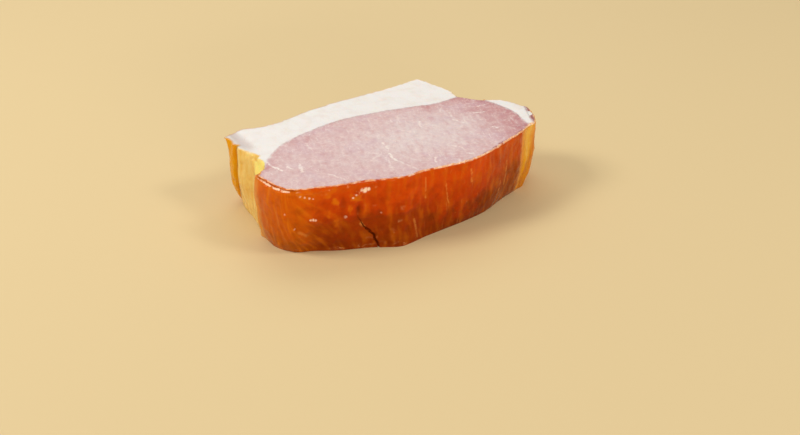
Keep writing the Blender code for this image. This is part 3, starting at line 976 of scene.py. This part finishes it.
def lean_wall(k):
    """The smoked outside of the muscle: glazed orange, darker towards the foot by browner crust and
    painted shade.
    """
    patches = k.about(k.noise(size=7.0, detail=3.0, rough=0.55), 0.42)
    back = k.ramp(k.y, *BROWNER_BACK, top=-0.12)
    right_end = k.ramp(k.x, *BROWNER_RIGHT, top=-0.28)
    lumps = k.times(k.measure("lumps"), 0.45)
    # Darker towards the foot and where the lumps sink: browner crust and painted shade
    height = k.add_up(k.times(k.z, 1 / WALL_HEIGHT), patches, lumps, back, right_end)
    colour = k.mix(k.ramp(height, 0.0, 0.5), SMOKED_BROWN_AND_SHADE, SMOKED_RED)
    colour = k.mix(k.ramp(height, 0.4, 0.95), colour, SMOKED_ORANGE)
    shelf = k.add_up(k.z, k.about(k.noise(size=6.0, detail=2.0), 3.5))
    # Painted shade: the darker band under the shelf
    shelf_shade = k.times(k.ramp(shelf, *BAND_TOP), k.ramp(k.x, *BAND_LEFT), k.ramp(k.x, *BAND_RIGHT))
    colour = k.mix(k.times(shelf_shade, 0.7), colour, PAINTED_SHELF_SHADE)
    long_grain = k.bent(k.squeezed(k.grain, GRAIN_SHARES), size=6.0, reach=1.6)
    streaks = k.noise(long_grain, size=3.0)
    left = k.ramp(k.x, *PALER_LEFT)
    end = k.add_up(k.ramp(k.x, *AMBER_END, top=0.5), k.ramp(k.x, *AMBER_RIGHT, top=0.12))
    streaked = k.times(k.ramp(streaks, 0.42, 0.78), k.rise(left, 0.12, 0.26))
    amber = k.add_up(streaked, k.times(left, 0.38), end)
    colour = k.mix(amber, colour, SMOKED_AMBER)
    cluster = k.ramp(k.from_point(k.place, CLUSTER), *CLUSTER_FADE)
    crests = k.add_up(k.measure("lumps"), k.about(k.noise(size=2.2), 0.3))
    colour = k.mix(k.times(k.ramp(crests, 0.0, 0.45), cluster, 0.8), colour, SMOKED_AMBER)
    fine = k.noise(k.squeezed(long_grain, FIBRE_GRAIN_SHARES), size=1.0)
    right = k.ramp(k.x, *FIBROUS_RIGHT)
    fibre = k.times(k.ramp(fine, 0.62, 0.80), k.rise(right, 0.22, 0.04))
    bent = k.bent(k.place, size=3.0, reach=1.2)
    placed = k.largest(
        k.times(k.line(bent, start, end, width), strength)
        for start, end, width, strength in FIBRES
    )
    # Painted highlights at the flecks
    glints = k.largest(
        k.ramp(k.from_point(bent, point), radius, radius * FLECK_CORE, top=strength)
        for *point, radius, strength in FLECKS
    )
    ragged = k.ramp(k.noise(size=1.4, detail=2.0), 0.32, 0.5, bottom=0.25)
    pale = k.math("MAXIMUM", fibre, k.times(placed, ragged))
    colour = k.mix(k.times(pale, 0.75), colour, FIBRE_AMBER)
    # Darker in the hollows of the relief, which is painted shade, and in random blotches of crust
    hollow_shade = k.ramp(crests, -0.3, -0.9)
    blotch = k.times(k.ramp(k.noise(size=5.0, detail=2.0), 0.50, 0.75), 0.22)
    colour = k.mix(k.math("MAXIMUM", blotch, k.times(hollow_shade, 0.6)), colour, PIT_DARK_AND_SHADE)
    return k.mix(k.times(glints, ragged), colour, GLINT)


# The smoked fat: the bright bulge beside the front, and how far its brightness goes
BRIGHT_MIDDLE = (-64.0, 1.5, 28.5)
BRIGHT_FADE = (8.5, 3.0)

# The groove in the left end, whose dark line is painted shade: its y, its half width, where it
# shows, and how its foot runs back
GROOVE_Y = 21.6
GROOVE_HALF = (1.1, 0.2)
GROOVE_SHOWS = (-54.0, -57.0)
GROOVE_BENDS_BELOW = 16
GROOVE_FOOT_BACK = 4.3

# The ochre strip behind the groove, the deeper back, and the right end with the ochre beyond
STRIP_Y = (21.3, 22.5)
STRIP_X = (-40.0, -58.0)
DEEPER_BACK = (20.0, 34.0)
DEEPER_END_X = (50.0, 55.0)
DEEPER_END_Z = (26.0, 12.0)
BEYOND_SLANT = -0.41
BEYOND_X = (50.2, 53.0)
BEYOND_Y = (-10.0, -22.0)
STREAK_SHARES = (1.0, 1.0, 0.15)


def long_streaks(k):
    """Noise drawn out up and down the walls."""
    return k.noise(k.squeezed(k.place, STREAK_SHARES), size=2.6, detail=3.0, rough=0.6)


def fat_wall(k):
    """The smoked outside of the fat: golden and streaked, with an ochre strip by the groove and
    painted shade in it.
    """
    streaks = long_streaks(k)
    colour = k.mix(k.ramp(streaks, 0.3, 0.7), GOLD_PALE, GOLD)
    from_bulge = k.from_point(k.place, BRIGHT_MIDDLE)
    bright = k.ramp(k.add_up(from_bulge, k.about(k.noise(size=3.6, detail=2.0), 3.5)), *BRIGHT_FADE)
    colour = k.mix(bright, colour, GOLD_BRIGHT)
    at_left = k.ramp(k.x, *GROOVE_SHOWS)
    low = k.math("MAXIMUM", k.rise(k.z, -1 / GROOVE_BENDS_BELOW, 1.0), 0.0)
    straight_y = k.rise(k.times(low, low), -GROOVE_FOOT_BACK, k.y)
    strip = k.times(k.ramp(straight_y, *STRIP_Y, top=0.9), k.ramp(k.x, *STRIP_X))
    back = k.ramp(k.y, *DEEPER_BACK, top=0.35)
    end = k.times(k.ramp(k.x, *DEEPER_END_X), k.ramp(k.z, *DEEPER_END_Z, 0.55, 0.95))
    patches = k.about(k.noise(size=7.0, detail=3.0, rough=0.6), 0.55)
    colour = k.mix(k.add_up(strip, back, end, patches), colour, GOLD_DEEP)
    deeper = k.ramp(streaks, 0.42, 0.66)
    deeper = k.times(deeper, strip, k.ramp(patches, -0.4, 0.2, 0.25, 0.75))
    colour = k.mix(deeper, colour, BORDER_AMBER)
    # Painted shade along the groove
    aside = k.add_up(straight_y, -GROOVE_Y, k.about(k.noise(size=5.0, detail=3.0), 0.9))
    aside = k.ramp(k.math("ABSOLUTE", aside), *GROOVE_HALF)
    groove = k.times(aside, at_left, k.ramp(patches, 0.30, -0.15, 0.55, 0.9))
    colour = k.mix(groove, colour, GROOVE_SHADE)
    beyond = k.rise(k.z, BEYOND_SLANT, k.x)
    beyond = k.ramp(k.add_up(beyond, k.about(k.noise(size=4.0, detail=2.0), 1.0)), *BEYOND_X)
    rear = k.add_up(k.y, k.about(k.noise(size=7.0, detail=2.0), 6.0))
    rear = k.ramp(rear, *BEYOND_Y, 0.25, 0.95)
    beyond = k.times(beyond, rear, k.ramp(streaks, 0.72, 0.38, bottom=0.45))
    return k.mix(beyond, colour, END_OCHRE)


# The small dark muscle at the right end, and the gap between its two chips
OUTER_X = (60.0, 64.0)
CHIP_X = (62.0, 64.0)
CHIP_Y = -17.3
CHIP_HALF = (2.4, 0.9)


def cut_face(k):
    """The whole cut face, with a soft border between muscle and fat."""
    lean, bundles = lean_cut(k)
    lean = k.mix(marbling(k), lean, MARBLE_WHITE)
    outer = k.times(k.ramp(k.x, *OUTER_X), k.ramp(k.fat, -0.1, -0.6))
    lean = k.mix(k.times(outer, 0.85), lean, OUTER_RED)
    chip_gap = k.ramp(k.off(k.y, CHIP_Y), *CHIP_HALF, top=4.0)
    chip_gap = k.times(chip_gap, k.ramp(k.x, *CHIP_X))
    seam = k.add_up(k.fat, k.about(k.noise(size=2.2, detail=2.0), 0.9), chip_gap)
    return k.mix(k.ramp(seam, -1.1, 0.9), lean, fat_cut(k)), bundles


# How far the gold of the fat's wall runs into the muscle's: a little, and more at either end
GOLDEN_INTO = -1.0
GOLDEN_OUT = 1.4
GOLDEN_LEFT = (-50.0, -62.0)
GOLDEN_RIGHT_X = (44.0, 52.0)
GOLDEN_RIGHT_Y = (-8.0, -18.0)


def smoked_side(k):
    """The whole smoked outside, with a mottled amber border between orange and gold."""
    lean_side = lean_wall(k)
    side_seam = k.add_up(k.fat, k.about(k.noise(size=3.0, detail=2.0), 1.2))
    at_right = k.times(k.ramp(k.x, *GOLDEN_RIGHT_X, top=-4.5), k.ramp(k.y, *GOLDEN_RIGHT_Y))
    wide = k.add_up(GOLDEN_INTO, k.ramp(k.x, *GOLDEN_LEFT, top=-10.0), at_right)
    golden = k.ramp(side_seam, wide, GOLDEN_OUT)
    wall = k.mix(golden, lean_side, fat_wall(k))
    mottled = k.ramp(long_streaks(k), 0.3, 0.7, bottom=0.35)
    border = k.times(golden, k.math("SUBTRACT", 1.0, golden), 3.8, mottled)
    return k.mix(border, wall, BORDER_AMBER)


# The edge of the cut face: where its front and right begin, its left corner, and its painted shade
EDGE_FRONT = (-5.0, -9.0)
EDGE_RIGHT = (-8.0, 8.0)
CORNER_X = (-58.0, -62.0)
CORNER_Y = (-30.0, -26.0)
CORNER_Z = (10.0, 20.0)
SHADE_FROM = (10.0, 30.0)
SHADE_TO = (56.0, 50.0)


def edge_lines(k, edge):
    """Shares of the lines along the edge: painted shade, dark gap, wet shoulder that is partly a
    painted highlight, and a second bright line that is a painted highlight.
    """
    front = k.ramp(k.y, *EDGE_FRONT)
    right = k.ramp(k.x, *EDGE_RIGHT)
    lower = k.rise(right, 0.45, 0.5)
    shoulder = k.times(k.ramp(edge, -0.8, -0.3), k.ramp(edge, lower, 0.0), front)
    broken = k.add_up(k.noise(size=3.5, detail=2.0), k.times(right, 0.08))
    shoulder = k.times(shoulder, k.ramp(broken, 0.34, 0.56), k.rise(right, 0.25, 0.75))
    corner = k.times(front, k.ramp(k.y, *CORNER_Y), k.ramp(k.x, *CORNER_X), k.ramp(k.z, *CORNER_Z))
    second = k.times(k.ramp(edge, 0.9, 1.4), k.ramp(edge, 2.4, 1.9), corner)
    second = k.times(second, k.ramp(k.noise(size=2.6, detail=2.0), 0.34, 0.5))
    gap = k.times(k.ramp(edge, 0.1, 0.5), k.ramp(edge, 1.3, 0.9), corner)
    shade = k.times(
        k.ramp(edge, -1.5, -1.0), k.ramp(edge, -0.5, -0.9), k.ramp(k.x, *SHADE_FROM), front
    )
    shade = k.times(shade, k.ramp(broken, 0.64, 0.50), k.ramp(k.x, *SHADE_TO))
    return shade, gap, shoulder, second


# The shine: roughness of the smoked and the cut surfaces, relief of the glaze, and light inside
ROUGH_WALL = (0.10, 0.20)
ROUGH_CUT = (0.34, 0.50)
WET_RELIEF = 0.5
BUMP_STRENGTH = 0.8
LIGHT_INSIDE = {
    "Subsurface Weight": 0.12,
    "Subsurface Radius": (1.0, 0.5, 0.3),
    "Subsurface Scale": 0.0008,
    "Specular IOR Level": 0.2,
}


def slab_material(name):
    k = Looks(name)
    cut, bundles = cut_face(k)
    wall = smoked_side(k)
    edge = k.add_up(k.rim, k.about(k.noise(size=1.6, detail=2.0), 0.45))
    soft = k.ramp(k.fat, -0.5, 0.5)
    on_wall = k.ramp(edge, k.rise(soft, -1.1, -0.65), k.rise(soft, 0.5, -0.15))
    shade, gap, shoulder, second = edge_lines(k, edge)
    colour = k.mix(on_wall, cut, wall)
    # Painted shade along the edge, on the right
    colour = k.mix(k.times(shade, 0.8), colour, OUTER_RED)
    colour = k.mix(k.times(gap, 0.55), colour, SMOKED_BROWN_AND_SHADE)
    # The wet shoulder: a pale edge, partly a painted highlight
    pale_edge_and_glint = k.mix(k.ramp(k.noise(size=1.5), 0.42, 0.62), SMOKED_PEACH, GLINT)
    colour = k.mix(shoulder, colour, pale_edge_and_glint)
    # The second bright line: a painted highlight
    colour = k.mix(k.times(second, 0.9), colour, GLINT)
    grain = k.noise(size=0.8, detail=3.0, rough=0.6)
    rough_wall = k.ramp(grain, 0.3, 0.7, *ROUGH_WALL)
    rough_cut = k.ramp(bundles, 0.3, 0.7, *ROUGH_CUT)
    roughness = k.add("ShaderNodeMix", {0: on_wall, 2: rough_cut, 3: rough_wall}).outputs[0]
    wet = k.times(k.noise(size=2.8), on_wall, WET_RELIEF)
    grain_height = k.times(grain, k.rise(on_wall, -0.05, 0.09))
    height = k.add_up(grain_height, wet, k.times(bundles, 0.08))
    bump = k.add("ShaderNodeBump", {"Height": height, "Distance": MM, "Strength": BUMP_STRENGTH})
    shader = k.add("ShaderNodeBsdfPrincipled", {
        "Base Color": colour,
        "Roughness": roughness,
        "Normal": bump.outputs[0],
        "Specular Tint": k.mix(on_wall, CLEAR_WHITE, SMOKED_GLEAM),
        **LIGHT_INSIDE,
    })
    out = k.add("ShaderNodeOutputMaterial")
    k.tree.links.new(shader.outputs[0], out.inputs["Surface"])
    return k.material


# The four pieces

SHARP_ANGLE = math.radians(50)

slab_look = slab_material("slab")


def make_piece(name, mesh):
    dress_surface(name, mesh)
    piece = bpy.data.objects.new("slab_" + name, mesh)
    bpy.context.scene.collection.objects.link(piece)
    mesh.polygons.foreach_set("use_smooth", [True] * len(mesh.polygons))
    mesh.set_sharp_from_angle(angle=SHARP_ANGLE)
    look = slab_look.copy()
    look.name = LAYERS[name]
    mesh.materials.append(look)
    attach(piece, "root")
    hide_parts(name)


for name, mesh in meshes.items():
    make_piece(name, mesh)


# The stage: the photograph's point of view, a floor and soft light, all in metres

CAMERA_PLACE = (-0.2797, -0.4671, 0.2903)
CAMERA_HEADING = math.radians(31.5)
CAMERA_PITCH = math.radians(29.1)
CAMERA_LENS = 60.3
CAMERA_SENSOR = 36

FLOOR_HALF = 3.0
FLOOR_COLOUR = srgb(224, 198, 146)
FLOOR_ROUGHNESS = 0.8
SKY_COLOUR = (1.0, 0.98, 0.95, 1.0)
SKY_STRENGTH = 0.40

# Each light's name, place, width and height, and power in watts
LIGHTS = (
    ("overhead", (0.25, 0.60, 0.75), (0.8, 0.6), 2.6),
    ("left", (-0.66, 0.27, 0.70), (0.30, 0.30), 4.2),
    ("front right", (0.46, -0.55, 0.72), (0.22, 0.22), 2.2),
    ("low front", (-0.22, -1.0, 0.20), (0.50, 0.055), 3.0),
)


def make_camera():
    data = bpy.data.cameras.new("camera")
    data.lens = CAMERA_LENS
    data.sensor_width = CAMERA_SENSOR
    camera = bpy.data.objects.new("camera", data)
    camera.location = CAMERA_PLACE
    camera.rotation_euler = Euler((math.pi / 2 - CAMERA_PITCH, 0.0, -CAMERA_HEADING))
    bpy.context.scene.collection.objects.link(camera)
    bpy.context.scene.camera = camera


def make_floor():
    mesh = bpy.data.meshes.new("floor")
    low, high = -FLOOR_HALF, FLOOR_HALF
    corners = [(low, low, 0), (high, low, 0), (high, high, 0), (low, high, 0)]
    mesh.from_pydata(corners, [], [(0, 1, 2, 3)])
    floor = bpy.data.objects.new("floor", mesh)
    bpy.context.scene.collection.objects.link(floor)
    material = bpy.data.materials.new("floor")
    material.use_nodes = True
    shader = material.node_tree.nodes["Principled BSDF"]
    shader.inputs["Base Color"].default_value = FLOOR_COLOUR
    shader.inputs["Roughness"].default_value = FLOOR_ROUGHNESS
    mesh.materials.append(material)


def make_world():
    world = bpy.data.worlds.new("world")
    world.use_nodes = True
    background = world.node_tree.nodes["Background"]
    background.inputs["Color"].default_value = SKY_COLOUR
    background.inputs["Strength"].default_value = SKY_STRENGTH
    bpy.context.scene.world = world


def make_light(name, place, size, power):
    """A soft rectangular light that faces the slab."""
    data = bpy.data.lights.new(name, "AREA")
    data.shape = "RECTANGLE"
    data.size, data.size_y = size
    data.energy = power
    light = bpy.data.objects.new(name, data)
    light.location = place
    light.rotation_euler = (-Vector(place)).to_track_quat("-Z", "Y").to_euler()
    bpy.context.scene.collection.objects.link(light)


make_camera()
make_floor()
make_world()
for light in LIGHTS:
    make_light(*light)
bpy.context.scene.view_settings.view_transform = "Standard"
